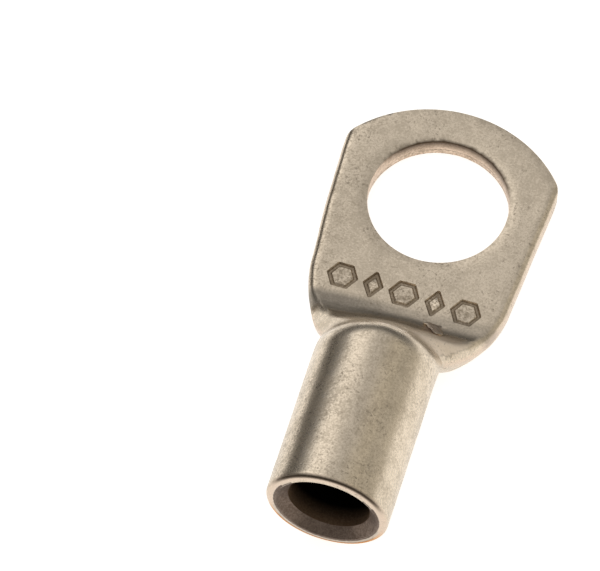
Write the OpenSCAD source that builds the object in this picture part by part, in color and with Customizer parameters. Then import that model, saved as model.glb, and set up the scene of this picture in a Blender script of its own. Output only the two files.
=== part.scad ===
// Tubular cable lug: one length of copper tube, pressed flat at one end and
// punched for a stud, left round and open at the other end for the wire.
// Millimetres. The origin is the centre of the stud hole on the underside.
// +Y points to the palm's tip, -Y to the barrel's mouth, +Z is up.

/* [Palm] */

// clear diameter of the stud hole
stud_d = 6.4; // [5.5:0.05:7.2]
// thickness of the pressed palm
palm_t = 1.1; // [0.9:0.05:1.4]
// full width of the palm, measured across the centre of the stud hole
palm_w = 9.9; // [9.4:0.02:10.6]
// lean of each side, in degrees: the palm widens toward its tip
side_lean = 3.35; // [1.5:0.05:5]
// distance from the centre of the stud hole to the tip
tip_reach = 4.97; // [4.7:0.01:5.6]
// radius of the sheared arc at the tip
tip_r = 6.14; // [5.8:0.02:7]
// radius of the two corners of the tip, seen from above
corner_r = 1.1; // [0.6:0.05:1.6]
// radius of the soft upper edge that the punch leaves on the stud hole
hole_roll = 0.16; // [0.08:0.01:0.25]

/* [Barrel] */

// outside diameter of the tube
barrel_od = 5.55; // [5.4:0.05:6]
// inside diameter of the tube
barrel_id = 3.7; // [3.4:0.05:4]
// distance from the centre of the stud hole to the mouth
barrel_reach = 17.75; // [15:0.05:21]
// sideways turn of the barrel at the neck, in degrees, left by the press
barrel_turn = 1.1; // [0:0.1:2]
// radius of the outer edge of the mouth
mouth_round = 0.22; // [0.1:0.01:0.3]
// width and depth of the countersink that leads the wire into the bore
mouth_lead = 0.42; // [0.2:0.01:0.55]

/* [Neck] */

// distance from the centre of the stud hole to the end of the flat palm
palm_reach = 6.08; // [5.8:0.02:6.4]
// slope of the pressed neck, in degrees from the palm
neck_slope = 57; // [48:1:64]
// radius of the hollow where the palm turns up into the neck, at the middle
foot_r = 1; // [0.7:0.05:1.4]
// radius of the same hollow toward the sides
foot_side_r = 1.7; // [1:0.05:2]
// half of the crown's width, over which the hollow opens to that radius
crown_half = 2.4; // [1.8:0.1:3]
// radius of the brow where the neck turns over into the barrel
brow_r = 1.2; // [0.9:0.05:1.8]
// distance along the barrel from the flat palm's end to the armpits
shoulder_len = 2.62; // [2.3:0.02:3]
// distance before the flat palm's end at which the sides start to draw in
shoulder_lead = 1.48; // [1.1:0.02:1.8]
// fullness of the shoulders seen from above: higher is squarer
shoulder_full = 1.7; // [1.3:0.05:2.4]
// slant of the press line across the palm, in degrees
press_slant = 3.3; // [-4:0.1:5]
// steepness of the shoulders' upper flanks: rise over run
flank = 1.5; // [1.1:0.05:1.8]

/* [Hidden] */

// shared by the whole part
circle_fn = 96;
tube_wall = (barrel_od - barrel_id) / 2;
lean = tan(side_lean);
fold_r = palm_t / 2;

// palm outline, seen from above: the shear cut leaves the folded side at
// cut_y, leaning in by cut_lean, and runs round the corner into the tip's arc
arc_y = tip_reach - tip_r;
cut_y = 1.2;
cut_turn = side_lean - 5;
cut_lean = tan(cut_turn);
cut_w = palm_w / 2 + cut_y * (lean - cut_lean);
corner_a = cut_w - corner_r / cos(cut_turn);
corner_b = corner_a * cut_lean - arc_y;
corner_c = corner_a * corner_a + arc_y * arc_y - pow(tip_r - corner_r, 2);
corner_k = 1 + cut_lean * cut_lean;
corner_y = (sqrt(corner_b * corner_b - corner_k * corner_c) - corner_b) / corner_k;
corner_x = corner_a + cut_lean * corner_y;
corner_dir = atan2(corner_y - arc_y, corner_x);

// neck profile along the barrel: distances from the stud hole's centre, where
// the hollow at the foot has radius r
function foot_end(r) = palm_reach + r * sin(neck_slope);
function foot_top(r) = palm_t + r * (1 - cos(neck_slope));
brow_low = barrel_od - brow_r * (1 - cos(neck_slope));
function brow_start(r) = foot_end(r) + (brow_low - foot_top(r)) / tan(neck_slope);
function brow_end(r) = brow_start(r) + brow_r * sin(neck_slope);
neck_end = brow_end(foot_side_r);
armpit = palm_reach + shoulder_len;
shoulder_start = palm_reach - shoulder_lead;
slant = tan(press_slant);
turn_at = armpit - 0.5;

// how finely the neck's form is stepped
end_steps = 9;
flat_steps = 6;
overlap = 0.25;
skin = 0.015;
lining = 0.03;

// ---- palm ----

// half the palm's width at distance d toward the mouth
function side_x(d) = palm_w / 2 - d * lean;

// outline of the shear cut: rounded corners and arc; its lower part is open
// to the sides, where the tube's own folds are the edge
module cut_outline(back) {
  cut_x = corner_x + corner_r * cos(cut_turn);
  polygon([
    [-palm_w, -back],
    [palm_w, -back],
    [palm_w, 0],
    [cut_w, 0],
    [cut_x, corner_y - corner_r * sin(cut_turn)],
    [corner_x, corner_y],
    [0, arc_y],
    [-corner_x, corner_y],
    [-cut_x, corner_y - corner_r * sin(cut_turn)],
    [-cut_w, 0],
    [-palm_w, 0]
  ]);
  for (s = [-1, 1])
    translate([s * corner_x, corner_y])
      circle(r = corner_r, $fn = circle_fn);
  intersection() {
    translate([0, arc_y])
      circle(r = tip_r, $fn = circle_fn);
    polygon([
      [0, arc_y],
      [2 * tip_r * cos(corner_dir), arc_y + 2 * tip_r * sin(corner_dir)],
      [-2 * tip_r * cos(corner_dir), arc_y + 2 * tip_r * sin(corner_dir)]
    ]);
  }
}

// the strip of flattened tube: flat faces, full-round folds at both sides
module pressed_strip(back, front) {
  inner = fold_r / cos(side_lean);
  linear_extrude(height = palm_t)
    polygon([
      [-side_x(back) + inner, -back],
      [side_x(back) - inner, -back],
      [side_x(-front) - inner, front],
      [-side_x(-front) + inner, front]
    ]);
  for (s = [-1, 1])
    translate([s * (side_x(back + 1) - inner), -back - 1, fold_r])
      rotate([0, 0, -s * side_lean])
        rotate([-90, 0, 0])
          cylinder(h = (back + front + 2) / cos(side_lean), r = fold_r, $fn = circle_fn);
}

// the palm, cut to its outline
module palm() {
  intersection() {
    pressed_strip(shoulder_start, tip_reach + 1);
    linear_extrude(height = palm_t)
      cut_outline(shoulder_start);
  }
}

// ---- neck ----

// radius of the hollow at the foot, x from the middle: it opens to the sides
function foot_at(x) =
  foot_r + (foot_side_r - foot_r) * pow(min(abs(x) / crown_half, 1), 2);

// height of the tube's back over the underside, at distance d and x from the middle
function back_z(d, x = 0) =
  let (r = foot_at(x))
    d <= palm_reach ? palm_t :
    d <= foot_end(r) ? palm_t + r - sqrt(r * r - pow(d - palm_reach, 2)) :
    d <= brow_start(r) ? foot_top(r) + (d - foot_end(r)) * tan(neck_slope) :
    d < brow_end(r) ? barrel_od - brow_r + sqrt(brow_r * brow_r - pow(brow_end(r) - d, 2)) :
    barrel_od;

// how far the shoulder has drawn in: 0 along the palm, 1 at the armpit
function drawn(d) = min(max((d - shoulder_start) / (armpit - shoulder_start), 0), 1);

// half the width of the section at distance d
function half_x(d) =
  let (w = side_x(d), r = barrel_od / 2)
    r + (w - r) * pow(1 - pow(drawn(d), shoulder_full), 1 / 1.2);

// smooth step from 0 at a to 1 at b
function ease(d, a, b) =
  let (u = min(max((d - a) / (b - a), 0), 1))
    u * u * (3 - 2 * u);

// how round the section is: 0 for the folded strip, 1 for a full oval
function roundness(d) = ease(d, armpit - 0.8, armpit + 0.1);

// how straight the shoulders' upper flanks are: 0 round, 1 straight
function straightness(d) = ease(d, palm_reach, foot_end(foot_side_r)) * (1 - ease(d, armpit - 0.8, armpit + 0.3));

// sideways shift and turn of a section, once the barrel has turned
function turned(d) = barrel_turn * ease(d, turn_at - 1, turn_at + 1);
function side_shift(d) = tan(barrel_turn) * max(d - turn_at, 0);

// angles around one section, in even steps
function turn(i) = 360 * i / (4 * (end_steps + flat_steps));
// where the flat of a folded section begins
flat_turn = 90 * end_steps / (end_steps + flat_steps);

// angle on the folded end that belongs to step angle q, 0 to 90
function fold_turn(q) = min(q * 90 / flat_turn, 90);
// the same, carried to all four quarters
function full_turn(q) =
  q <= 90 ? fold_turn(q) :
  q <= 180 ? 180 - fold_turn(180 - q) :
  q <= 270 ? 180 + fold_turn(q - 180) :
  360 - fold_turn(360 - q);

// one point of the section at distance d; inset moves it in from the outside
function section_point(d, q, inset) =
  let (g = roundness(d),
       v = straightness(d),
       up = sin(q) > 0,
       a = half_x(d) - inset,
       b = back_z(d) / 2 - inset,
       e = (b / (1 + (flank - 1) * v)) * (1 - g) + a * g,
       f = (1 - g) * full_turn(q) + g * q,
       k = up ? 1 + 0.75 * v : 1,
       s = min(max(cos(q) / cos(flat_turn), -1), 1),
       x = (a - e) * s + e * sign(cos(f)) * pow(abs(cos(f)), k),
       z = sign(sin(f)) * pow(abs(sin(f)), k),
       tall = max(back_z(d + slant * x, x) - 2 * inset, 0.02))
    [x + side_shift(d), x * tan(turned(d)) - d, inset + tall * (1 + z) / 2];

// a closed skin through the sections at the given distances
module section_skin(stations, inset) {
  n = 4 * (end_steps + flat_steps);
  m = len(stations);
  points = [for (d = stations) for (i = [0:n - 1]) section_point(d, turn(i), inset)];
  sides = [for (j = [0:m - 2]) for (i = [0:n - 1])
    let (a = j * n + i, b = j * n + (i + 1) % n)
      each [[a, a + n, b], [b, a + n, b + n]]];
  first = [for (i = [1:n - 2]) [0, i, i + 1]];
  last = [for (i = [1:n - 2]) [(m - 1) * n, (m - 1) * n + i + 1, (m - 1) * n + i]];
  polyhedron(points = points, faces = concat(first, sides, last), convexity = 4);
}

// distances of the neck's sections, closer where the form turns
brow_stations = concat(
  [for (i = [0:9]) brow_start(foot_r) + (neck_end - brow_start(foot_r)) * i / 9],
  [neck_end + overlap]
);
outer_stations = concat(
  [for (i = [-1:4]) shoulder_start + (i < 0 ? -overlap : shoulder_lead * i / 4)],
  [for (i = [1:7]) palm_reach + (foot_end(foot_side_r) - palm_reach) * i / 7],
  [for (i = [1:5]) foot_end(foot_side_r) + (brow_start(foot_r) - foot_end(foot_side_r)) * i / 6],
  brow_stations
);

// distance at which the two walls of the tube first touch
hollow_wall = tube_wall + lining;
slit_end = foot_end(foot_side_r) + max(2 * hollow_wall + 0.15 - foot_top(foot_side_r), 0) / tan(neck_slope);
inner_stations = concat(
  [for (i = [0:7]) slit_end + (brow_start(foot_r) - slit_end) * i / 8],
  brow_stations
);

// the pressed neck and its two shoulders
module neck() {
  section_skin(outer_stations, skin);
}

// the space inside the neck: round at the barrel, closing to a slit
module neck_hollow() {
  section_skin(inner_stations, hollow_wall);
}

// ---- barrel ----

// places its children at the mouth, looking along the barrel to the neck
module at_mouth() {
  translate([0, -turn_at, barrel_od / 2])
    rotate([0, 0, barrel_turn])
      translate([0, turn_at - barrel_reach, 0])
        rotate([-90, 0, 0])
          children();
}

// the round tube, from the mouth to the neck, with a soft outer edge
module barrel() {
  at_mouth()
    rotate_extrude($fn = circle_fn)
      union() {
        translate([0, mouth_round])
          square([barrel_od / 2, barrel_reach - neck_end - mouth_round]);
        square([barrel_od / 2 - mouth_round, mouth_round * 2]);
        translate([barrel_od / 2 - mouth_round, mouth_round])
          intersection() {
            circle(r = mouth_round, $fn = circle_fn);
            translate([0, -mouth_round])
              square([mouth_round, mouth_round]);
          }
      }
}

// the bore for the wire, with its small lead-in at the mouth
module wire_bore() {
  at_mouth() {
    translate([0, 0, -1])
      cylinder(h = barrel_reach - neck_end + 1, d = barrel_id, $fn = circle_fn);
    rotate_extrude($fn = circle_fn)
      polygon([
        [0, -1],
        [barrel_id / 2 + mouth_lead + 1, -1],
        [barrel_id / 2 + mouth_lead, 0],
        [barrel_id / 2, mouth_lead],
        [0, mouth_lead]
      ]);
  }
}

// ---- stud hole ----

// straight punched hole with a soft upper edge
module stud_hole() {
  translate([0, 0, -1])
    cylinder(h = palm_t + 2, d = stud_d, $fn = circle_fn);
  translate([0, 0, palm_t - hole_roll])
    rotate_extrude($fn = circle_fn)
      difference() {
        square([stud_d / 2 + hole_roll, hole_roll + 1]);
        translate([stud_d / 2 + hole_roll, 0])
          circle(r = hole_roll, $fn = circle_fn);
      }
}

// ---- the lug ----

module lug() {
  color([0.76, 0.70, 0.62])
    difference() {
      union() {
        palm();
        neck();
        barrel();
      }
      neck_hollow();
      wire_bore();
      stud_hole();
    }
}

lug();
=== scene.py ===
# %% [markdown]
# # A cable lug of tinned copper
# A lug like this starts as a short length of copper tube. A press flattens one
# end into a palm, a punch cuts the stud hole, and a shear rounds the tip. The
# other end stays round and takes the wire. Tin is plated over it all.
# In Blender it could be sculpted, or boxed out and subdivided, but the real
# thing is a tube that was formed in known steps, so this lesson rolls up a
# sheet, presses it, and then cuts it with the same tools.

import math

import bmesh
import bpy
from mathutils import Matrix, Vector, noise


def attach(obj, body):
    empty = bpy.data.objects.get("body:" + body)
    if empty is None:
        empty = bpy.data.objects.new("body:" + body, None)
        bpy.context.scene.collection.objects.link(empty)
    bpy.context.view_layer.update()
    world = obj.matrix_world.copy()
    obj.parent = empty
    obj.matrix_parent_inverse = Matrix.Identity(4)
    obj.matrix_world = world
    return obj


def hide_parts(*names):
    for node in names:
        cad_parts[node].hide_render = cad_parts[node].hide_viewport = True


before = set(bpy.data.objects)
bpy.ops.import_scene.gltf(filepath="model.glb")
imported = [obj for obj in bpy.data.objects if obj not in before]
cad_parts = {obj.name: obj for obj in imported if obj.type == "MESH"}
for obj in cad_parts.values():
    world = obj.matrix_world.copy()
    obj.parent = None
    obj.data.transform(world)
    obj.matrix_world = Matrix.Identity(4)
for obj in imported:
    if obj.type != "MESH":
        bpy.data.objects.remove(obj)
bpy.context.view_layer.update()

# %% [markdown]
# ## The camera
# The lug is looked down on from the mouth's side with a long lens, so its
# edges stay almost parallel. A long lens stands far back: the distance sets
# how much the near end grows, and the focal length sets how big it all looks.
# The camera is aimed at a point on the bench and then rolled a little.

# %% Camera
MM = 0.001


def look_from(azimuth, elevation, roll, distance, aim, lens):
    """A camera on a line of sight, in degrees and millimetres."""
    a, e = math.radians(azimuth), math.radians(elevation)
    back = Vector((math.sin(a) * math.cos(e), -math.cos(a) * math.cos(e), math.sin(e)))
    level = Vector((math.cos(a), math.sin(a), 0))
    side = Matrix.Rotation(math.radians(roll), 3, back) @ level
    up = back.cross(side)
    camera = bpy.data.objects.new("camera", bpy.data.cameras.new("camera"))
    bpy.context.scene.collection.objects.link(camera)
    place = Matrix.Translation((Vector(aim) + back * distance) * MM)
    camera.matrix_world = place @ Matrix((side, up, back)).transposed().to_4x4()
    camera.data.sensor_width = 36
    camera.data.lens = lens
    camera.data.clip_start = 0.01
    camera.data.clip_end = 10
    bpy.context.scene.camera = camera
    return camera


camera = look_from(
    azimuth=15.434,
    elevation=58.646,
    roll=2.353,
    distance=270.4,
    aim=(-4.932, -4.965, -1.005),
    lens=360,
)
print("camera at, mm:", [round(v / MM, 1) for v in camera.matrix_world.translation])

# %% [markdown]
# ## Sizes of the tube and the tools
# The formed tube has only a few sizes, and every later step reads them: the
# round tube, the pressed palm, and the radii that the press leaves where the
# palm turns up into the neck and the neck turns over into the barrel. Lengths
# are in millimetres and run from the stud hole's centre toward the mouth.

# %% Sizes of the palm and the barrel
PALM_T = 1.1  # both walls together
PALM_W = 9.9  # across the hole's centre
SIDE_LEAN = 3.35  # degrees that the sides lean out toward the tip
TIP_REACH = 4.965
TIP_R = 6.14
CORNER_R = 1.1  # where the tip meets the sides
STUD_R = 3.2

TUBE_R = 5.55 / 2
BORE_R = 3.7 / 2
LIP_R = 0.22  # rounding of the mouth's outer edge
LEAD_IN = 0.42  # width and depth of the countersink
MOUTH = 17.746
BARREL_TURN = 1.1  # degrees that the barrel points aside
print("palm", PALM_W, "mm wide, barrel", 2 * TUBE_R, "mm across")

# %% Sizes of the neck
PALM_END = 6.08
NECK_SLOPE = math.radians(57)
FOOT_R = 1.0  # hollow at the foot, in the middle
FOOT_SIDE_R = 1.7  # and toward the sides
CROWN_HALF = 2.4  # half width over which it opens
BROW_R = 1.2
SHOULDER_START = PALM_END - 1.48
ARMPIT = PALM_END + 2.62  # where the sides reach the barrel
SHOULDER_FULL = 1.7  # how full the shoulders' curve is
SHOULDER_END = 1.2  # how sharply it ends at the armpits
ROUND_START = ARMPIT - 0.8  # where the folds begin to round off
PRESS_SLANT = math.radians(3.3)  # the press closed a little askew
CROWN_FLAT = 0.75  # how much the neck's back is flattened
FLANK = 1.5  # how steep its flanks are
FOLD_SQUARE = 0.4  # how square the folds' corners are
SIDE_TUCK = 0.02  # share that the left side is drawn in

BROW_LOW = 2 * TUBE_R - BROW_R * (1 - math.cos(NECK_SLOPE))


def foot_end(r):
    """Where a foot of that radius ends and the slope begins."""
    return PALM_END + r * math.sin(NECK_SLOPE)


def foot_top(r):
    """How high the foot reaches there."""
    return PALM_T + r * (1 - math.cos(NECK_SLOPE))


def brow_start(r):
    """Where the slope ends and the brow begins."""
    return foot_end(r) + (BROW_LOW - foot_top(r)) / math.tan(NECK_SLOPE)


def brow_end(r):
    """Where the brow meets the barrel's top."""
    return brow_start(r) + BROW_R * math.sin(NECK_SLOPE)


NECK_END = brow_end(FOOT_SIDE_R)
TURN_AT = ARMPIT - 0.5  # where the barrel begins to point aside
print("neck runs from", round(PALM_END, 2), "to", round(NECK_END, 2), "mm")

# %% [markdown]
# ## The shape of one slice
# Cut across anywhere, the tube is one closed outline. In the barrel it is a
# circle; in the palm it is two flats joined by full-round folds; the neck
# passes from one to the other. So one rule gives the outline at any distance,
# and its few ingredients ease from flat to round along the neck. A shape that
# changes this way could also be bridged between a few drawn rings, but the
# press leaves exact radii, and a rule keeps them.


# %% How the slices change along the tube
def ease(d, a, b):
    """A smooth step from 0 at a to 1 at b."""
    u = min(max((d - a) / (b - a), 0), 1)
    return u * u * (3 - 2 * u)


def foot_at(x):
    """Radius of the hollow at the foot, which opens toward the sides."""
    return FOOT_R + (FOOT_SIDE_R - FOOT_R) * min(abs(x) / CROWN_HALF, 1) ** 2


def back_height(d, x=0.0):
    """Height of the tube's back over the bench."""
    r = foot_at(x)
    if d <= PALM_END:
        return PALM_T
    if d <= foot_end(r):
        return PALM_T + r - math.sqrt(r**2 - (d - PALM_END) ** 2)
    if d <= brow_start(r):
        return foot_top(r) + (d - foot_end(r)) * math.tan(NECK_SLOPE)
    if d < brow_end(r):
        return 2 * TUBE_R - BROW_R + math.sqrt(BROW_R**2 - (brow_end(r) - d) ** 2)
    return 2 * TUBE_R


def half_width(d):
    """Half the lug's width, from the palm in to the barrel."""
    palm = PALM_W / 2 - d * math.tan(math.radians(SIDE_LEAN))
    drawn = min(max((d - SHOULDER_START) / (ARMPIT - SHOULDER_START), 0), 1)
    return TUBE_R + (palm - TUBE_R) * (1 - drawn**SHOULDER_FULL) ** (1 / SHOULDER_END)


def signed_power(v, k):
    """Squares off a curve where k is under 1, keeping its sign."""
    return math.copysign(abs(v) ** k, v)


def slanted(x, y):
    """Distance toward the mouth, seen along the press's slanting edge."""
    return -y + math.tan(PRESS_SLANT) * x


print("the back is", round(back_height(7.0), 2), "mm high at 7 mm")

# %% One point of one slice
FOLD_SHARE = math.radians(54)  # part of each quarter turn that goes to a fold


def full_turn(q):
    """The angle on a folded end for a step q round the slice."""
    quarter = math.pi / 2
    n, r = divmod(q, math.pi)
    part = min(min(r, math.pi - r) * quarter / FOLD_SHARE, quarter)
    return n * math.pi + (part if r <= quarter else math.pi - part)


def slice_point(d, q, inset=0.0):
    """Point of the slice at distance d, a turn q round it, that far inside."""
    # how round the slice is, and how much of the neck's own form it has
    round_share = ease(d, ROUND_START, ARMPIT + 0.1)
    straight = ease(d, PALM_END, foot_end(FOOT_SIDE_R)) * (1 - ease(d, ROUND_START, ARMPIT + 0.3))
    # half its width and height, and how far a fold reaches in from the side
    a = (half_width(d) if inset <= LIP_R else min(half_width(d), TUBE_R)) - inset
    b = back_height(d) / 2 - inset
    end = b / (1 + (FLANK - 1) * straight) * (1 - round_share) + a * round_share
    # how square the fold is: over 1 hollows it, under 1 fills its corners
    k = 1 + CROWN_FLAT * straight if math.sin(q) > 0 else 1
    k -= FOLD_SQUARE * (1 - ease(d, PALM_END - 0.2, foot_end(FOOT_R)))
    across = k if d > PALM_END else 1 - FOLD_SQUARE * 0.8
    # the flats run straight between the folds
    f = (1 - round_share) * full_turn(q) + round_share * q
    flat = min(max(math.cos(q) / math.cos(FOLD_SHARE), -1), 1)
    x = (a - end) * flat + end * signed_power(math.cos(f), across)
    z = signed_power(math.sin(f), k)
    tall = max(back_height(slanted(x, -d), x) - 2 * inset, 0.02)
    if x < 0:
        x *= 1 - SIDE_TUCK * ease(d, 1.5, 4.5) * (1 - ease(d, 6.8, 8.2))
    # the barrel is turned a little aside
    turned = math.radians(BARREL_TURN) * ease(d, TURN_AT - 1, TURN_AT + 1)
    shift = math.tan(math.radians(BARREL_TURN)) * max(d - TURN_AT, 0)
    return Vector((x + shift, x * math.tan(turned) - d, inset + tall * (1 + z) / 2))


print("barrel's top at", round(slice_point(14, math.pi / 2).z, 3), "mm")

# %% [markdown]
# ## Where the slices stand
# The slices stand close together where the metal bends quickly and further
# apart where it runs straight. The walk starts deep inside, where the bore
# pinches shut, comes out through the bore, turns round the lip of the mouth
# and goes back over the outside to the tip, so the wall is one closed skin.


# %% Stations along the skin
def steps(a, b, gap):
    """Even steps from a toward b, without b itself."""
    n = max(1, math.ceil(abs(b - a) / gap))
    return [a + (b - a) * i / n for i in range(n)]


WALL = TUBE_R - BORE_R
# the bore closes to a slit here
PINCH = foot_end(FOOT_SIDE_R) + (2 * WALL + 0.15 - foot_top(FOOT_SIDE_R)) / math.tan(NECK_SLOPE)

# each station is a distance and how far it lies inside the outer skin
stations = [(d, WALL) for d in steps(PINCH, NECK_END + 0.3, 0.12)]
stations += [(d, WALL) for d in steps(NECK_END + 0.3, MOUTH - LEAD_IN, 0.5)]
countersink = (0, 0.05, 0.3, 0.6, 0.95)
stations += [(MOUTH - LEAD_IN + LEAD_IN * t, WALL - LEAD_IN * t) for t in countersink]
stations += [(MOUTH, inset) for inset in steps(WALL - LEAD_IN, LIP_R, 0.08)]
for i in range(7):
    a = math.pi / 2 * i / 6
    stations.append((MOUTH - LIP_R * (1 - math.cos(a)), LIP_R * (1 - math.sin(a))))
stations += [(d, 0.0) for d in steps(MOUTH - LIP_R - 0.1, NECK_END + 0.3, 0.16)]
stations += [(d, 0.0) for d in steps(NECK_END + 0.3, PALM_END - 0.4, 0.07)]
stations += [(d, 0.0) for d in steps(PALM_END - 0.4, -TIP_REACH - 0.6, 0.16)]
print(len(stations), "stations")

# %% [markdown]
# Round each slice, the points crowd into the tight folds and spread evenly
# over the flats. The flats get their points by even steps of width, the folds
# by even steps of turn.

# %% Turns round one slice
FOLD_STEPS = 14
FLAT_STEPS = 56


def turns_round():
    """The turns of one slice's points, once round."""
    fold = [FOLD_SHARE * i / FOLD_STEPS for i in range(FOLD_STEPS)]
    edge = math.cos(FOLD_SHARE)
    flat = [math.acos(edge * (1 - 2 * i / FLAT_STEPS)) for i in range(FLAT_STEPS + 1)]
    back = [math.pi - q for q in reversed(fold)]
    half = fold + flat + back[:-1]
    return half + [math.pi + q for q in half] + [2 * math.pi]


turns = turns_round()
print(len(turns) - 1, "points round each slice")

# %% [markdown]
# ## Rolling and pressing the sheet
# A flat grid is the tube's sheet before it is rolled. Each point of the grid
# knows its column and its row, which say the turn and the station it goes to.
# The two edges that meet are then welded, and the two open ends are closed.
# Pressed metal is never quite flat, so a slow noise sinks the skin by a few
# hundredths of a millimetre. It only sinks, so the lug never outgrows its size.
# Beside the neck, where the wings run up into it, the valleys are smoothed: the
# press's jaw is round there, and the metal flows in one soft sweep.


# %% How pressed metal departs from the rule
SKIN_SINK = 0.014  # scale of the slow dents
PULL_DEPTH = 0.06  # how far a cut draws the skin down
PULL_REACH = 0.6


def unevenness(p):
    """Depth of the slow dents in the skin."""
    slow = noise.noise(p * 0.55) + 0.6 * noise.noise(p * 1.3 + Vector((7, 3, 1)))
    return SKIN_SINK * (slow + 1.1)


def inside_tip(p):
    """Distance in from the tip's round edge."""
    return TIP_R - math.hypot(p.x, p.y - TIP_REACH + TIP_R)


def drawn_down(p):
    """How far the punch and the shear pull the skin down near their cuts."""
    near_hole = (math.hypot(p.x, p.y) - STUD_R) / PULL_REACH
    near_tip = inside_tip(p) / PULL_REACH if p.y > 0 else 1
    return sum(PULL_DEPTH * max(0.0, 1 - max(near, 0)) ** 2 for near in (near_hole, near_tip))


def in_valley(p):
    """Beside the neck, where the wings run up into it."""
    beside = 0.9 < abs(p.x) < half_width(max(-p.y, 0)) - 0.35
    along = PALM_END + 0.85 < slanted(p.x, p.y) < ARMPIT + 0.3
    return beside and along and 1.0 < p.z < 2 * TUBE_R - 0.5


print("the skin sinks about", round(unevenness(Vector()), 3), "mm")

# %% Roll the sheet into the formed tube
VALLEY_PASSES = 60


def rolled_tube():
    """The grid, rolled and pressed, closed at both ends and eased in the valleys."""
    bm = bmesh.new()
    cols, rows = len(turns) - 1, len(stations) - 1
    bmesh.ops.create_grid(bm, x_segments=cols, y_segments=rows, size=0.5)
    for v in bm.verts:
        q = turns[round((v.co.x + 0.5) * cols)]
        d, inset = stations[round((v.co.y + 0.5) * rows)]
        place = slice_point(d, q, inset)
        dent = max(0.0, unevenness(place))
        v.co = slice_point(d, q, inset + dent) if inset < LIP_R else place
        if inset == 0 and place.z > PALM_T / 2 and d < PALM_END:
            v.co.z -= drawn_down(place)
    bmesh.ops.remove_doubles(bm, verts=bm.verts, dist=1e-4)
    rims = [e for e in bm.edges if e.is_boundary]
    bmesh.ops.holes_fill(bm, edges=rims, sides=0)
    valleys = [v for v in bm.verts if in_valley(v.co)]
    for _ in range(VALLEY_PASSES):
        bmesh.ops.smooth_vert(
            bm, verts=valleys, factor=0.5, use_axis_x=True, use_axis_y=True, use_axis_z=True
        )
    bmesh.ops.recalc_face_normals(bm, faces=bm.faces)
    return bm


def as_object(bm, name):
    """Puts a finished bmesh into the scene as a named object."""
    mesh = bpy.data.meshes.new(name)
    bm.to_mesh(mesh)
    bm.free()
    piece = bpy.data.objects.new(name, mesh)
    bpy.context.scene.collection.objects.link(piece)
    return piece


tube = as_object(rolled_tube(), "formed_tube")
print("formed tube:", len(tube.data.polygons), "faces")

# %% [markdown]
# ## The shear that rounds the tip
# The tip is sheared after the tube is flat, so it cuts straight down through
# both walls. The cutter is the shape that is kept: a tall block with the tip's
# outline. Its upper edge is rounded, because a shear draws the skin down before
# it cuts, and a fine ridge halfway up leaves the seam between the two walls.


# %% Outline of the sheared tip
SIDE_CUT = 1.2


def tip_outline(stand_in=0.0):
    """Points of the sheared outline, right side to left, moved in by stand_in."""
    # the shear trims the palm's sides a little, from SIDE_CUT beyond the hole's centre
    cut_lean = math.radians(SIDE_LEAN - 5)
    cut_w = PALM_W / 2 + SIDE_CUT * (math.tan(math.radians(SIDE_LEAN)) - math.tan(cut_lean))
    arc_y, far = TIP_REACH - TIP_R, -MOUTH - 2
    # the small corner arc touches the side's line and, from inside, the tip's arc
    a = cut_w - CORNER_R / math.cos(cut_lean)
    k, b = 1 + math.tan(cut_lean) ** 2, a * math.tan(cut_lean) - arc_y
    c = a * a + arc_y**2 - (TIP_R - CORNER_R) ** 2
    y = (math.sqrt(b * b - k * c) - b) / k
    corner = Vector((a + math.tan(cut_lean) * y, y, 0))
    away = math.atan2(y - arc_y, corner.x)
    points = [Vector((cut_w + far * math.tan(cut_lean) - stand_in, far, 0))]
    for i in range(9):
        t = -cut_lean + (away + cut_lean) * i / 8
        points.append(corner + (CORNER_R - stand_in) * Vector((math.cos(t), math.sin(t), 0)))
    for i in range(1, 40):
        t = away + (math.pi - 2 * away) * i / 40
        r = TIP_R - stand_in
        points.append(Vector((r * math.cos(t), arc_y + r * math.sin(t), 0)))
    return points + [Vector((-p.x, p.y, 0)) for p in reversed(points[:10])]


print("tip outline:", len(tip_outline()), "points")

# %% A block that is raised from an outline
def raised(levels, outline):
    """A closed block: the outline stands at each level, moved in as it says."""
    bm = bmesh.new()
    ring = [bm.verts.new(p) for p in outline(levels[0][1])]
    bmesh.ops.contextual_create(bm, geom=ring)
    for face in bm.faces:
        face.normal_update()
    edges = bm.edges[:]
    for v in ring:
        v.co.z = levels[0][0]
    for height, stand_in in levels[1:]:
        made = bmesh.ops.extrude_edge_only(bm, edges=edges)["geom"]
        fresh = {g for g in made if isinstance(g, bmesh.types.BMVert)}
        above = [[e.other_vert(v) for e in v.link_edges] for v in ring]
        ring = [next(v for v in choices if v in fresh) for choices in above]
        for v, p in zip(ring, outline(stand_in)):
            v.co = Vector((p.x, p.y, height))
        edges = [g for g in made if isinstance(g, bmesh.types.BMEdge)]
        edges = [e for e in edges if all(v in fresh for v in e.verts)]
    bmesh.ops.contextual_create(bm, geom=edges)
    bmesh.ops.recalc_face_normals(bm, faces=bm.faces)
    return bm


# %% Tip cutter
SHEAR_ROLL = 0.2  # rounding of the sheared edge
SEAM = 0.54  # height of the line where the two walls meet
SEAM_CUT = 0.05

# each level is a height and how far the outline is moved in there
levels = [(-1, 0.0), (SEAM - 0.05, 0.0), (SEAM, SEAM_CUT), (SEAM + 0.05, 0.0)]
levels.append((PALM_T - SHEAR_ROLL, 0.0))
for i in range(1, 6):
    t = math.pi / 2 * i / 6
    levels.append((PALM_T + SHEAR_ROLL * (math.sin(t) - 1), SHEAR_ROLL * (1 - math.cos(t))))
# over the palm the block only has to hold the neck and the barrel
levels += [(PALM_T + 0.05, 0.34), (2 * TUBE_R + 1, 0.34)]
tip_cutter = as_object(raised(levels, tip_outline), "tip_cutter")
print("tip cutter:", len(tip_cutter.data.vertices), "points")

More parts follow.
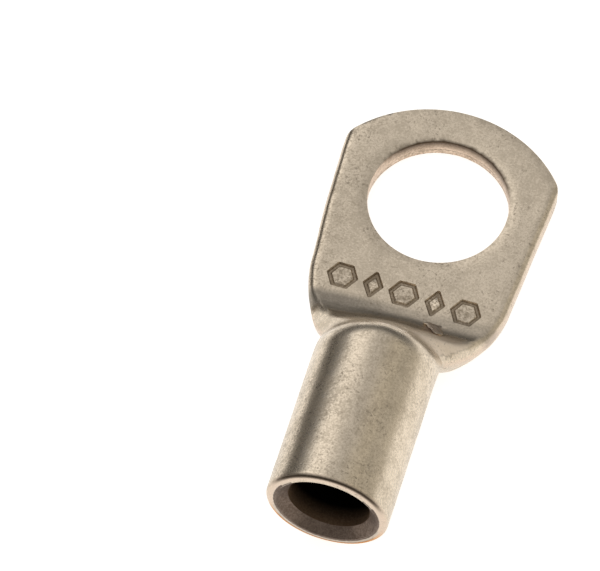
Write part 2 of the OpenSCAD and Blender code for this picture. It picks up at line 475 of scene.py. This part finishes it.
# %% [markdown]
# ## The punch for the stud hole
# The punch is a turned tool, so its cutter is a profile spun once round the
# hole's axis. The profile flares at the top, where a punch draws the skin
# down, stands straight through the upper wall, has a fine ridge at the seam
# between the two walls, and opens a little below, where the slug breaks out.

# %% Punch
HOLE_ROLL = 0.14  # rounding of the hole's upper edge


def punch():
    """The punch and its flare as one turned block."""
    bm = bmesh.new()
    # the breakout below, then the ridge at the seam; each point is a radius and a height
    profile = [(0, -1), (STUD_R + 0.06, -1), (STUD_R + 0.06, 0.0), (STUD_R + 0.05, 0.2)]
    profile += [(STUD_R + 0.02, 0.36), (STUD_R + 0.05, 0.39), (STUD_R, 0.43)]
    for i in range(7):
        t = math.radians(75) * i / 6
        radius = STUD_R + HOLE_ROLL * (1 - math.cos(t))
        profile.append((radius, PALM_T + HOLE_ROLL * (math.sin(t) - 1)))
    profile += [(STUD_R + 0.4, PALM_T + 0.06), (STUD_R + 0.4, PALM_T + 2), (0, PALM_T + 2)]
    points = [bm.verts.new((r, 0, z)) for r, z in profile]
    line = [bm.edges.new(pair) for pair in zip(points, points[1:])]
    bmesh.ops.spin(
        bm, geom=points + line, cent=(0, 0, 0), axis=(0, 0, 1),
        angle=2 * math.pi, steps=128, use_merge=True, use_duplicate=False,
    )
    bmesh.ops.remove_doubles(bm, verts=bm.verts, dist=1e-5)
    bmesh.ops.recalc_face_normals(bm, faces=bm.faces)
    return bm


punch_cutter = as_object(punch(), "punch")
print("punch:", len(punch_cutter.data.polygons), "faces")

# %% [markdown]
# ## A flake at the foot
# Where the press pinched the skin, a small flake of tin lies over the foot of
# the neck. It is a patch of grid laid on the tube's own surface, thickened and
# joined to the tube, so its ragged edge throws a real shadow.


# %% Flake
FLAKE_ROOT = Vector((1.25, -6.36)), Vector((2.08, -6.36))
FLAKE_POINT = Vector((2.0, -7.02)), Vector((2.2, -7.02))
RAGGED = 0.09
FLAKE_T = 0.08


def flake():
    """A ragged patch from a wide root to a narrow point, thin at its rim."""
    bm = bmesh.new()
    bmesh.ops.create_grid(bm, x_segments=12, y_segments=12, size=0.5)
    for v in bm.verts:
        u, w = v.co.x + 0.5, 0.5 - v.co.y
        x, y = FLAKE_ROOT[0].lerp(FLAKE_ROOT[1], u).lerp(FLAKE_POINT[0].lerp(FLAKE_POINT[1], u), w)
        x += RAGGED * noise.noise(Vector((x * 5, y * 5, 2)))
        y += RAGGED * noise.noise(Vector((x * 5, y * 5, 8)))
        rim = min(u, 1 - u, w, 1 - w) / 0.25
        lift = 0.04 - 0.05 * max(0.0, 1 - rim) + 0.03 * w
        lift += 0.012 * noise.noise(Vector((x * 6, y * 6, 5)))
        v.co = Vector((x, y, back_height(slanted(x, y), x) + lift))
    bmesh.ops.recalc_face_normals(bm, faces=bm.faces)
    bmesh.ops.solidify(bm, geom=bm.faces[:], thickness=FLAKE_T)
    bmesh.ops.recalc_face_normals(bm, faces=bm.faces)
    return bm


flake_piece = as_object(flake(), "flake")
print("flake:", len(flake_piece.data.polygons), "faces")

# %% [markdown]
# ## The row of marks
# A stamp has pressed a row of plain marks across the palm: hexagons with
# diamonds between them. A stamp's stroke is a groove with sloping walls, and
# the metal it closes round is pushed down a little too. Each cutter is made as
# the tip's was, but the other way up: from above the palm it steps down the
# outer slope, across the floor of the groove, and up to the sunk middle.

# %% Outline of one mark
def mark_corners(count, half_w, half_h):
    """Corners of a mark, evenly round its middle."""
    angles = [2 * math.pi / count * k for k in range(count)]
    return [Vector((half_w * math.cos(t), half_h * math.sin(t))) for t in angles]


def rounded_shape(corners, centre, corner_r):
    """An outline function for a shape with small round corners."""

    def outline(stand_in):
        points = []
        for i, c in enumerate(corners):
            before = (corners[i - 1] - c).normalized()
            after = (corners[(i + 1) % len(corners)] - c).normalized()
            half = before.angle(after) / 2
            inward = (before + after).normalized()
            middle = c + inward * (corner_r / math.sin(half))
            r = max(corner_r - stand_in, 0.02)
            shift = inward * ((stand_in - corner_r + r) / math.sin(half))
            sweep = math.pi / 2 - half
            away = math.atan2(-inward.y, -inward.x)
            for k in range(5):
                t = away + sweep * (k / 2 - 1)
                p = middle + shift + Vector((r * math.cos(t), r * math.sin(t)))
                points.append(Vector((p.x + centre[0], p.y + centre[1], 0)))
        return points

    return outline


print("a hexagon's corners:", [tuple(round(v, 2) for v in c) for c in mark_corners(6, 1, 1)])

# %% Stamp
MARKS_AT = -2.95, -1.5, -0.05, 1.4, 2.85  # from left to right
ROW_Y = -5.17
HEXAGON_R = 0.74
DIAMOND = 0.5, 0.78  # half its width and height
STROKE_DEPTH = 0.12
MIDDLE_DEPTH = 0.06

# a height and how far inside the mark's outline the cutter stands there
stroke = [
    (PALM_T + 0.2, -0.07),
    (PALM_T - 0.02, 0.0),
    (PALM_T - STROKE_DEPTH, 0.06),
    (PALM_T - STROKE_DEPTH, 0.16),
    (PALM_T - MIDDLE_DEPTH, 0.22),
]


def stamp():
    """The row's cutters in one mesh, hexagons and diamonds by turns."""
    tools = []
    for i, x in enumerate(MARKS_AT):
        corners = mark_corners(4, *DIAMOND) if i % 2 else mark_corners(6, HEXAGON_R, HEXAGON_R)
        y = ROW_Y + x * math.tan(-PRESS_SLANT * 0.5)
        tools.append(raised(stroke, rounded_shape(corners, (x, y), 0.1)))
    whole = tools[0]
    for bm in tools[1:]:
        mesh = bpy.data.meshes.new("mark")
        bm.to_mesh(mesh)
        bm.free()
        whole.from_mesh(mesh)
        bpy.data.meshes.remove(mesh)
    return whole


stamp_cutter = as_object(stamp(), "stamp")
print("stamp:", len(stamp_cutter.data.polygons), "faces")

# %% [markdown]
# ## Cutting, and back to one mesh
# Boolean modifiers cut with the tools, and the result is kept as the lug's own
# mesh. The tools are then thrown away. Up to here the work was in millimetres,
# which keeps the cuts exact; now it is brought down to metres in its mesh.


# %% Cut
def cut(target, tool, how):
    """Cuts or joins with a tool, keeps the result as the mesh and drops the tool."""
    change = target.modifiers.new(tool.name, "BOOLEAN")
    change.operation, change.solver, change.object = how, "EXACT", tool
    bpy.context.view_layer.update()
    done = target.evaluated_get(bpy.context.evaluated_depsgraph_get())
    mesh = bpy.data.meshes.new_from_object(done)
    target.modifiers.clear()
    target.data = mesh
    bpy.data.objects.remove(tool)
    print(target.name, "after", how.lower(), len(mesh.polygons), "faces")


cut(tube, flake_piece, "UNION")
cut(tube, tip_cutter, "INTERSECT")
cut(tube, punch_cutter, "DIFFERENCE")
cut(tube, stamp_cutter, "DIFFERENCE")

# %% One smooth mesh in metres
SHARP_FROM = math.radians(32)

bm = bmesh.new()
bm.from_mesh(tube.data)
bmesh.ops.remove_doubles(bm, verts=bm.verts, dist=1e-4)
bmesh.ops.scale(bm, vec=(MM, MM, MM), verts=bm.verts)
open_edges = [e for e in bm.edges if not e.is_manifold]
for face in bm.faces:
    face.smooth = True
lug = as_object(bm, "lug_formed")
bpy.data.objects.remove(tube)
lug.data.set_sharp_from_angle(angle=SHARP_FROM)
print("open edges:", len(open_edges))

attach(lug, "root")
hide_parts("lug")

# %% [markdown]
# ## Four finishes on one piece
# The outside is tinned. The punch and the shear cut through the tin and leave
# bare, slightly pink copper on their walls. The saw left the mouth brown and
# dull, and its dark tone is also painted shade, for the shadowed bench that it
# mirrors; inside the bore hardly any light reaches. The faces are sorted into
# the finishes by where they lie.

# %% Where a point lies
AXIS = Vector((math.sin(math.radians(BARREL_TURN)), -math.cos(math.radians(BARREL_TURN)), 0))
AXIS_START = Vector((0, -TURN_AT, TUBE_R))


def along_barrel(p):
    """Depth behind the mouth and distance from the barrel's axis."""
    out = p - AXIS_START
    reach = out.dot(AXIS)
    return MOUTH - TURN_AT - reach, (out - AXIS * reach).length


def from_hole(p):
    """Distance out from the edge of the stud hole."""
    return math.hypot(p.x, p.y) - STUD_R


def in_bore(p, margin):
    """Whether a point is on the bore's wall, counting a margin before it."""
    depth, r = along_barrel(p)
    return depth > LEAD_IN - margin and r < BORE_R + 0.1 and -p.y > NECK_END - 1


print("middle of the mouth at, mm:", [round(v, 2) for v in AXIS_START + AXIS * (MOUTH - TURN_AT)])

# %% Sort the faces
TINNED, CUT, SAWN, BORE = range(4)


def finish_of(p, normal):
    """Which finish the face at p has."""
    if in_bore(p, 0.01):
        return BORE
    # the dark sawn finish, which is partly painted shade, reaches further out at the bottom of the
    # mouth than at the top
    depth, r = along_barrel(p)
    low = ease(TUBE_R - 0.3 - p.z, 0.0, 1.5)
    top = ease(p.z, TUBE_R + 0.6, TUBE_R + 2.2)
    if depth < LEAD_IN + 0.01 and r < TUBE_R - LIP_R - 0.13 + 0.14 * low - 0.16 * top:
        return SAWN
    at_cut = from_hole(p) < 0.1 or (p.y > 1 and inside_tip(p) < 0.12)
    if abs(normal.z) < 0.5 and p.z < PALM_T and at_cut:
        return CUT
    return TINNED


kinds = [finish_of(Vector(face.center) / MM, face.normal) for face in lug.data.polygons]
print("tinned, cut, sawn and bore faces:", [kinds.count(i) for i in range(4)])

# %% [markdown]
# Where hands and bins rub a lug, the tin wears thin and the copper warms the
# colour, and a light colour is painted as a highlight along the top of the
# bore's edge at the mouth. Dirt stays in the grooves of the marks, with painted
# shade over it there. Painted shade also darkens the foot of the neck and the
# edges of the stud hole, the palm grows darker toward its left edge, a painted
# dark reflection runs just inside the left fold, and the barrel carries dirt
# all over with painted shade down its left side. Attributes on the mesh hold
# how rubbed and highlit and how dirty and shaded each point is, so that a
# finish can read them. They could be painted by hand, but the places follow
# from the shape, so a rule finds them.


# %% Where the metal is rubbed, and a painted highlight
def near(value, middle, reach):
    """1 at the middle, falling evenly to 0 at that reach on both sides."""
    return max(0.0, 1 - abs(value - middle) / reach)


def rubbed_and_highlit(p):
    """How rubbed the metal is, with a painted highlight, from 0 to 1."""
    depth, r = along_barrel(p)
    lip = max(0.0, 1 - depth / 0.45) if r > TUBE_R - LIP_R - 0.2 else 0.0
    arris_highlight = fold = hole_edge = 0.0
    if depth < 0.1:
        # a painted highlight along the top of the bore's edge at the mouth
        arris_highlight = 1.6 * near(r, BORE_R + LEAD_IN, 0.06) * ease(p.z, TUBE_R, TUBE_R + 2)
    if p.y > -ARMPIT:
        fold = 1 - max(half_width(-p.y) - abs(p.x), 0) / 0.3
    if p.z > 0.3:
        hole_edge = 0.8 * near(from_hole(p), 0.0, 0.22)
    return min(max(lip, arris_highlight, fold, hole_edge), 1.0)


print("a fold is rubbed:", round(rubbed_and_highlit(Vector((half_width(0), 0, PALM_T))), 2))

# %% Where it is dirty, and painted shade
def dirty_and_shaded(p):
    """How dirty the metal is, with painted shade, from 0 to 1."""
    rim = from_hole(p)
    if rim < 0.1 and p.z < 0.42:  # the hole's wall, under the seam
        return 0.5
    if p.y > -PALM_END + 0.1 and p.z > PALM_T / 2:  # the palm's upper side
        side = half_width(-p.y) - abs(p.x)
        in_row = p.y < -4.1 and side > 0.6
        # dirt in the marks' grooves and sunk middles, made darker still by painted shade
        marks_dirt_and_shade = ease(PALM_T - 0.01 - p.z, 0.0, 0.1) if in_row else 0.0
        # painted shade along the near edge of the stud hole
        near_rim_shade = 0.8 * near(rim, 0.05, 0.08) * max(0.0, -p.y) / STUD_R
        # painted shade round the left of the hole; the palm is also made darker toward its left
        # edge
        left_darkening = max(0.28 * ease(-p.x, 2.6, 3.9), 0.26 * near(rim, 0.2, 0.6) * ease(-p.x, 0, 2))
        # a painted dark reflection just inside the left fold
        left_fold_reflection = 0.85 * near(side, 0.2, 0.1) if p.x < 0 else 0.0
        return max(marks_dirt_and_shade, near_rim_shade, left_darkening, left_fold_reflection)
    if p.y > -ARMPIT and p.z > PALM_T / 2:  # the neck
        # painted shade in the hollow at the foot of the neck, strongest at its left end
        foot = 0.2 * near(slanted(p.x, p.y), PALM_END + 0.45, 0.45)
        left = 0.95 * near(slanted(p.x, p.y), PALM_END + 0.7, 0.5) * near(p.x, -3.7, 0.8)
        return max(foot, left)
    if along_barrel(p)[1] > TUBE_R - 0.1:  # the barrel's skin
        # dirt all over the barrel, plus painted shade down its left side, where it mirrors the
        # dark
        return 0.24 + 0.18 * near(p.x, -1.6, 1.2)
    return 0.0


print("dirt on the hole's wall:", dirty_and_shaded(Vector((STUD_R, 0, 0.2))))

# %% [markdown]
# Some places have a colour of their own, and some have painted light and shade.
# The saw broke out through the lower lip and left bare copper there, and over
# the upper lip lies a painted dark reflection; round the far edge of the stud
# hole runs a painted line of shade. Inside the bore the dark of a deep hole is
# painted, darker deeper in, painted shade runs along the foot of the neck, and
# the valley beside it at the right gets a painted light tone. A stain is stored
# as a colour and a strength, and it is duller than the tin round it.


# %% Stains, with painted shade and light
BARE_COPPER = 0.66, 0.31, 0.085
# painted dark reflection over the upper lip
UPPER_LIP_DARK_REFLECTION = 0.05, 0.034, 0.022
# painted shade deep in the bore
DEEP_BORE_SHADE = 0.004, 0.003, 0.002
# painted shade at the stud hole's far edge
FAR_RIM_SHADE = 0.07, 0.045, 0.027
BROWN_TIN = 0.44, 0.35, 0.28
# painted shade at the foot of the neck
NECK_FOOT_SHADE = 0.1, 0.095, 0.09
# painted light over the valley beside the neck
VALLEY_PAINTED_LIGHT = 0.72, 0.615, 0.5
CLEAN = 0.0, 0.0, 0.0


def band(value, middle, reach, steep):
    """As near, but steeper, with a flat top at 1."""
    return min(1.0, steep * near(value, middle, reach))


def lip_copper_and_reflection(p, depth, r):
    """Copper on the lower lip and a painted dark reflection over the upper one."""
    turn = math.degrees(math.atan2(r - TUBE_R + LIP_R, LIP_R - depth))
    low = ease(TUBE_R - p.z, 0.2, 1.9)
    if low > 0:
        return BARE_COPPER, low * band(turn, 20, 45, 2.2)
    # a painted dark reflection along the upper lip
    high = ease(p.z, TUBE_R + 0.7, TUBE_R + 1.9)
    return UPPER_LIP_DARK_REFLECTION, 0.95 * high * band(turn, 32, 34, 1.5)


def stain_and_shading(p):
    """A colour and how strongly it covers the metal."""
    depth, r = along_barrel(p)
    if depth < LIP_R + 0.05 and r > TUBE_R - LIP_R - 0.03:
        return lip_copper_and_reflection(p, depth, r)
    # painted shade, darker deeper into the bore
    if in_bore(p, 0.05):
        return DEEP_BORE_SHADE, ease(depth, LEAD_IN + 0.05, LEAD_IN + 0.8)
    rim = from_hole(p)
    # a painted line of shade round the far edge of the stud hole
    if abs(rim) < 0.13 and p.z > 0.5 and p.y > 0:
        return FAR_RIM_SHADE, min(0.95, 1.5 * near(rim, 0.04, 0.09)) * ease(p.y, 0.6, 2.4)
    on_flake = band(p.x, 1.75, 0.5, 2) * band(-p.y, 6.68, 0.42, 2)
    if on_flake > 0 and p.z > PALM_T:
        return BROWN_TIN, 0.7 * on_flake
    along = slanted(p.x, p.y)
    # painted shade along the foot of the neck, strongest at its left end
    if p.z > PALM_T / 2 and PALM_END - 0.4 < along < PALM_END + 0.8:
        corner = near(along, PALM_END + 0.2, 0.45) * near(p.x, -4.2, 0.55)
        foot_band_shade = band(along, PALM_END + 0.2, 0.6, 1.7) * (0.3 * ease(-p.x, -1.0, 2.5) + 0.3)
        return NECK_FOOT_SHADE, max(corner, foot_band_shade)
    # a painted light tone over the valley at the right, which is also duller
    if p.x > 0 and p.z > 1 and in_valley(p):
        return VALLEY_PAINTED_LIGHT, 0.85 * band(along, 7.95, 1.1, 2.5) * band(p.x, 2.7, 1.6, 2.5)
    return CLEAN, 0.0


print("stain deep in the bore:", stain_and_shading(Vector((0.3, -14, TUBE_R))))

# %% Keep them on the mesh
def store(name, kind, field, values):
    """Keeps one value, or one colour's three, for each point of the mesh."""
    layer = lug.data.attributes.new(name, kind, "POINT")
    layer.data.foreach_set(field, values)
    print(name, "has", len(values), "values, the highest", round(max(values), 2))


places = [Vector(v.co) / MM for v in lug.data.vertices]
stains_and_shading = [stain_and_shading(p) for p in places]
# wear with a painted highlight, dirt with painted shade, and stains with painted shade and light
store("worn_and_highlight", "FLOAT", "value", [rubbed_and_highlit(p) for p in places])
store("grime_and_shade", "FLOAT", "value", [dirty_and_shaded(p) for p in places])
store("stain_and_shading", "FLOAT_VECTOR", "vector", [part for colour, _ in stains_and_shading for part in colour])
store("stain_and_shading_strength", "FLOAT", "value", [strength for _, strength in stains_and_shading])

# %% [markdown]
# ## Effects that the finishes share
# Plated and drawn metal shows three sizes of detail: a fine grain, blotches
# about half a millimetre wide, and slow changes over a few millimetres. One
# node group makes them, and each finish uses it with its own strength. A
# second group scatters fine dark specks, which gather in patches.


# %% Node helpers
def add(tree, kind, **values):
    """A new node with its properties set."""
    node = tree.nodes.new(kind)
    for key, value in values.items():
        setattr(node, key, value)
    return node


def put(tree, value, socket):
    """Sets a socket to a number or colour, or links it."""
    if isinstance(value, bpy.types.NodeSocket):
        tree.links.new(value, socket)
    else:
        socket.default_value = value


def maths(tree, how, a, b):
    """Adds, subtracts or multiplies two values."""
    node = add(tree, "ShaderNodeMath", operation=how)
    put(tree, a, node.inputs[0])
    put(tree, b, node.inputs[1])
    return node.outputs[0]


def span(tree, value, start, end, out_start=0.0, out_end=1.0):
    """Maps a value smoothly from one span to another."""
    node = add(tree, "ShaderNodeMapRange", interpolation_type="SMOOTHSTEP")
    put(tree, value, node.inputs["Value"])
    put(tree, start, node.inputs["From Min"])
    put(tree, end, node.inputs["From Max"])
    put(tree, out_start, node.inputs["To Min"])
    put(tree, out_end, node.inputs["To Max"])
    return node.outputs["Result"]


def blend(tree, factor, a, b):
    """Mixes two colours, from a to b."""
    node = add(tree, "ShaderNodeMix", data_type="RGBA")
    put(tree, factor, node.inputs["Factor"])
    put(tree, a, node.inputs[6])
    put(tree, b, node.inputs[7])
    return node.outputs[2]


print("helpers: add, put, maths, span, blend")


# %% Noise and effect groups
def cloud(tree, place, size_mm, detail, roughness):
    """Noise whose spots are about size_mm across."""
    node = add(tree, "ShaderNodeTexNoise")
    put(tree, place, node.inputs["Vector"])
    node.inputs["Scale"].default_value = 1000 / size_mm
    node.inputs["Detail"].default_value = detail
    node.inputs["Roughness"].default_value = roughness
    return node.outputs["Fac"]


def effect(name, outputs):
    """An empty node group that takes a place and puts out masks."""
    group = bpy.data.node_groups.new(name, "ShaderNodeTree")
    group.interface.new_socket("Place", in_out="INPUT", socket_type="NodeSocketVector")
    for label in outputs:
        group.interface.new_socket(label, in_out="OUTPUT", socket_type="NodeSocketFloat")
    start, end = group.nodes.new("NodeGroupInput"), group.nodes.new("NodeGroupOutput")
    return group, start.outputs["Place"], end.inputs


print("helpers: cloud, effect")

# %% Grain and specks
grain_group, place, out = effect("metal_grain", ("Tone", "Grain"))
fine = cloud(grain_group, place, size_mm=0.1, detail=3.0, roughness=0.75)
blotch = cloud(grain_group, place, size_mm=0.5, detail=3.0, roughness=0.6)
slow = cloud(grain_group, place, size_mm=2.6, detail=2.0, roughness=0.5)
tone = maths(grain_group, "MULTIPLY", fine, 0.6)
tone = maths(grain_group, "ADD", tone, maths(grain_group, "MULTIPLY", blotch, 0.25))
tone = maths(grain_group, "ADD", tone, maths(grain_group, "MULTIPLY", slow, 0.15))
put(grain_group, tone, out["Tone"])
put(grain_group, fine, out["Grain"])

speck_group, place, out = effect("specks", ("Specks",))
spots = cloud(speck_group, place, size_mm=0.14, detail=2.0, roughness=0.6)
spots = span(speck_group, spots, 0.56, 0.68)
patches = cloud(speck_group, place, size_mm=1.5, detail=3.0, roughness=0.65)
patches = span(speck_group, patches, 0.46, 0.62)
put(speck_group, maths(speck_group, "MULTIPLY", spots, patches), out["Specks"])
print("groups:", grain_group.name, speck_group.name)

# %% [markdown]
# ## The finishes
# Each finish is a metal. Its colour moves between a darker and a lighter tone
# with the grain, darkens in the specks, the dirt and the painted shade, and
# warms where it is rubbed and where a highlight is painted. Grain and specks
# also tilt the surface, which breaks up what it mirrors, and dirt and painted
# shade make it duller.


# %% What every finish reads
TONE_SPAN = 0.42, 0.6  # the grain's values that count as darkest and lightest
# the colour of dirt, which is also used for painted shade
DIRT_AND_SHADE_COLOUR = 0.2, 0.15, 0.1, 1
SPECK_COLOUR = 0.2, 0.16, 0.12, 1
SPECK_DEPTH = 0.006  # in millimetres, as the grain's height is


def stored(tree, name):
    """What the mesh holds under that name."""
    return add(tree, "ShaderNodeAttribute", attribute_name=name).outputs


def placed(tree, group, place):
    """One use of an effect group."""
    node = add(tree, "ShaderNodeGroup", node_tree=group)
    put(tree, place, node.inputs["Place"])
    return node.outputs


def soiled_and_shaded(tree, grain):
    """The stored dirt and painted shade, with a ragged edge that follows the grain."""
    uneven = maths(tree, "MULTIPLY", maths(tree, "SUBTRACT", 0.5, grain["Tone"]), 2.2)
    return span(tree, maths(tree, "ADD", stored(tree, "grime_and_shade")["Fac"], uneven), 0.25, 1.0)


print("helpers: stored, placed, soiled")

# %% Build a finish
def metal(name, dark, light, rough, grain_height, specks, worn_and_highlight_colour=None):
    """A metal between two tones, and between two roughnesses with them."""
    material = bpy.data.materials.new(name)
    material.use_nodes = True
    tree = material.node_tree
    shader = tree.nodes["Principled BSDF"]
    shader.inputs["Metallic"].default_value = 1.0
    place = add(tree, "ShaderNodeTexCoord").outputs["Object"]
    grain = placed(tree, grain_group, place)
    speck = maths(tree, "MULTIPLY", placed(tree, speck_group, place)["Specks"], specks)
    # dirt with painted shade, and stains with painted shade and light
    dirt_and_shade = soiled_and_shaded(tree, grain)
    stain_and_shading_cover = stored(tree, "stain_and_shading_strength")["Fac"]

    # colour: the metal's tone, then wear with a painted highlight, dirt with painted shade, stains
    # with painted shade and light, and specks over it
    tone = span(tree, grain["Tone"], *TONE_SPAN)
    colour = blend(tree, tone, (*dark, 1), (*light, 1))
    if worn_and_highlight_colour:
        exposed_and_highlit = maths(tree, "ADD", stored(tree, "worn_and_highlight")["Fac"], grain["Tone"])
        colour = blend(tree, span(tree, exposed_and_highlit, 0.95, 1.6), colour, (*worn_and_highlight_colour, 1))
    colour = blend(tree, maths(tree, "MULTIPLY", dirt_and_shade, 0.8), colour, DIRT_AND_SHADE_COLOUR)
    colour = blend(tree, stain_and_shading_cover, colour, stored(tree, "stain_and_shading")["Color"])
    put(tree, blend(tree, speck, colour, SPECK_COLOUR), shader.inputs["Base Color"])

    # roughness: dirt, painted shade and stains are duller
    roughness = span(tree, grain["Tone"], *TONE_SPAN, *rough)
    duller = maths(tree, "MULTIPLY", dirt_and_shade, 0.2)
    duller = maths(tree, "ADD", duller, maths(tree, "MULTIPLY", stain_and_shading_cover, 0.25))
    put(tree, maths(tree, "ADD", roughness, duller), shader.inputs["Roughness"])

    # relief: grain stands up and specks are sunk
    height = maths(tree, "MULTIPLY", grain["Grain"], grain_height)
    height = maths(tree, "SUBTRACT", height, maths(tree, "MULTIPLY", speck, SPECK_DEPTH))
    bump = add(tree, "ShaderNodeBump")
    bump.inputs["Strength"].default_value = 1.0
    bump.inputs["Distance"].default_value = MM
    put(tree, height, bump.inputs["Height"])
    put(tree, bump.outputs["Normal"], shader.inputs["Normal"])
    return material


# %% Give the lug its finishes
finishes = [
    metal(
        "tinned_skin",
        dark=(0.53, 0.45, 0.348),
        light=(0.705, 0.602, 0.476),
        rough=(0.33, 0.25),
        grain_height=0.0032,
        specks=0.55,
        worn_and_highlight_colour=(0.66, 0.53, 0.42),
    ),
    metal(
        "cut_copper",
        dark=(0.57, 0.435, 0.325),
        light=(0.77, 0.605, 0.465),
        rough=(0.42, 0.32),
        grain_height=0.006,
        specks=0.3,
    ),
    # the sawn mouth's brown is partly painted shade
    metal(
        "sawn_mouth_and_shade",
        dark=(0.13, 0.094, 0.072),
        light=(0.20, 0.15, 0.118),
        rough=(0.55, 0.45),
        grain_height=0.004,
        specks=0.2,
        # this light colour also paints a highlight along the top of the bore's edge
        worn_and_highlight_colour=(0.6, 0.52, 0.44),
    ),
    metal(
        "dull_bore",
        dark=(0.3, 0.19, 0.115),
        light=(0.4, 0.27, 0.17),
        rough=(0.6, 0.5),
        grain_height=0.004,
        specks=0.0,
    ),
]
lug.data.materials.clear()
for material in finishes:
    lug.data.materials.append(material)
lug.data.polygons.foreach_set("material_index", kinds)
print("finishes:", [material.name for material in finishes])

# %% [markdown]
# ## The bench
# The lug lies on a pale, matt bench. A real sweep of white paper is lit until
# it is nearly white; a little light of its own does the same for this one.


# %% Bench
def bench():
    """A floor of two metres, at the height of the lug's underside."""
    bm = bmesh.new()
    bmesh.ops.create_grid(bm, x_segments=1, y_segments=1, size=1.0)
    floor = as_object(bm, "bench")
    material = bpy.data.materials.new("bench_white")
    material.use_nodes = True
    shader = material.node_tree.nodes["Principled BSDF"]
    shader.inputs["Base Color"].default_value = (0.8, 0.795, 0.79, 1)
    shader.inputs["Roughness"].default_value = 0.9
    shader.inputs["Emission Color"].default_value = (1, 0.995, 0.985, 1)
    shader.inputs["Emission Strength"].default_value = 0.72
    floor.data.materials.append(material)
    return floor


print("bench, m:", list(bench().dimensions))

# %% [markdown]
# ## A dark card
# In a studio, a black card is stood beside bright metal to draw a dark line
# down it. This one stands at the left of the barrel. It shows only where the
# metal mirrors it: the camera doesn't see it, and it shades nothing.

# %% Dark card
CARD_LONG, CARD_TALL = 44, 4.8
CARD_AT = -11.5, -10, 5.1


def dark_card():
    """An upright card that only shiny things see."""
    bm = bmesh.new()
    bmesh.ops.create_grid(bm, x_segments=1, y_segments=1, size=0.5)
    bmesh.ops.rotate(bm, verts=bm.verts, matrix=Matrix.Rotation(math.radians(90), 3, "Y"))
    bmesh.ops.scale(bm, vec=(1, CARD_LONG * MM, CARD_TALL * MM), verts=bm.verts)
    bmesh.ops.translate(bm, vec=Vector(CARD_AT) * MM, verts=bm.verts)
    card = as_object(bm, "dark_card")
    material = bpy.data.materials.new("card_black")
    material.use_nodes = True
    shader = material.node_tree.nodes["Principled BSDF"]
    shader.inputs["Base Color"].default_value = (0.03, 0.025, 0.02, 1)
    card.data.materials.append(material)
    card.visible_camera = card.visible_diffuse = card.visible_shadow = False
    return card


print("card, m:", [round(side, 4) for side in dark_card().dimensions])

# %% [markdown]
# ## The light
# One soft dome lights it all. It is bright above, brightest at the left behind
# the lug, and a little warmer at the right. Low down it is dim, apart from the
# right side, and that gives the metal its dark bands; with nothing dim to
# mirror, bright metal looks like paper. The camera itself doesn't see this dim
# part: behind the bench it sees plain pale paper.

# %% Dome of light
SKY = 0.62
PALE = 1, 1, 1, 1
COOL_HORIZON = 0.95, 0.97, 1.0, 1
WHITE_SKY = 1.0, 0.99, 0.975, 1
WARM_SKY = 1.0, 0.955, 0.84, 1


def dome():
    """The soft light from all round."""
    world = bpy.data.worlds.new("soft_dome")
    bpy.context.scene.world = world
    world.use_nodes = True
    tree = world.node_tree
    back = tree.nodes["Background"]
    where = add(tree, "ShaderNodeSeparateXYZ")
    put(tree, add(tree, "ShaderNodeTexCoord").outputs["Generated"], where.inputs[0])
    x, y, z = where.outputs

    # the dim horizon, which is open at the right
    not_right = maths(tree, "SUBTRACT", 1.0, span(tree, x, 0.3, 0.95))
    ring = maths(tree, "MULTIPLY", span(tree, z, 0.36, 0.66, 1.0, 0.0), not_right)
    # the sky, with its bright part behind at the left and a little more at both sides
    key = maths(tree, "MULTIPLY", span(tree, x, -0.1, -0.5), span(tree, y, -0.2, 0.2))
    sky = maths(tree, "ADD", SKY, maths(tree, "MULTIPLY", key, 0.55))
    sky = maths(tree, "ADD", sky, span(tree, x, 0.05, -0.25, 0.0, 0.22))
    sky = maths(tree, "ADD", sky, span(tree, x, 0.15, 0.5, 0.0, 0.05))
    light = maths(tree, "SUBTRACT", 1.0, maths(tree, "MULTIPLY", ring, 0.88))
    light = maths(tree, "MULTIPLY", sky, light)
    warm = blend(tree, span(tree, x, 0.1, 0.5), WHITE_SKY, WARM_SKY)
    tint = blend(tree, ring, warm, COOL_HORIZON)

    # the camera itself sees plain pale paper
    seen = add(tree, "ShaderNodeLightPath").outputs["Is Camera Ray"]
    light = maths(tree, "MULTIPLY", light, maths(tree, "SUBTRACT", 1.0, seen))
    put(tree, maths(tree, "ADD", light, seen), back.inputs["Strength"])
    put(tree, blend(tree, seen, tint, PALE), back.inputs["Color"])
    return world


bpy.context.scene.view_settings.view_transform = "Standard"
print("light:", dome().name)
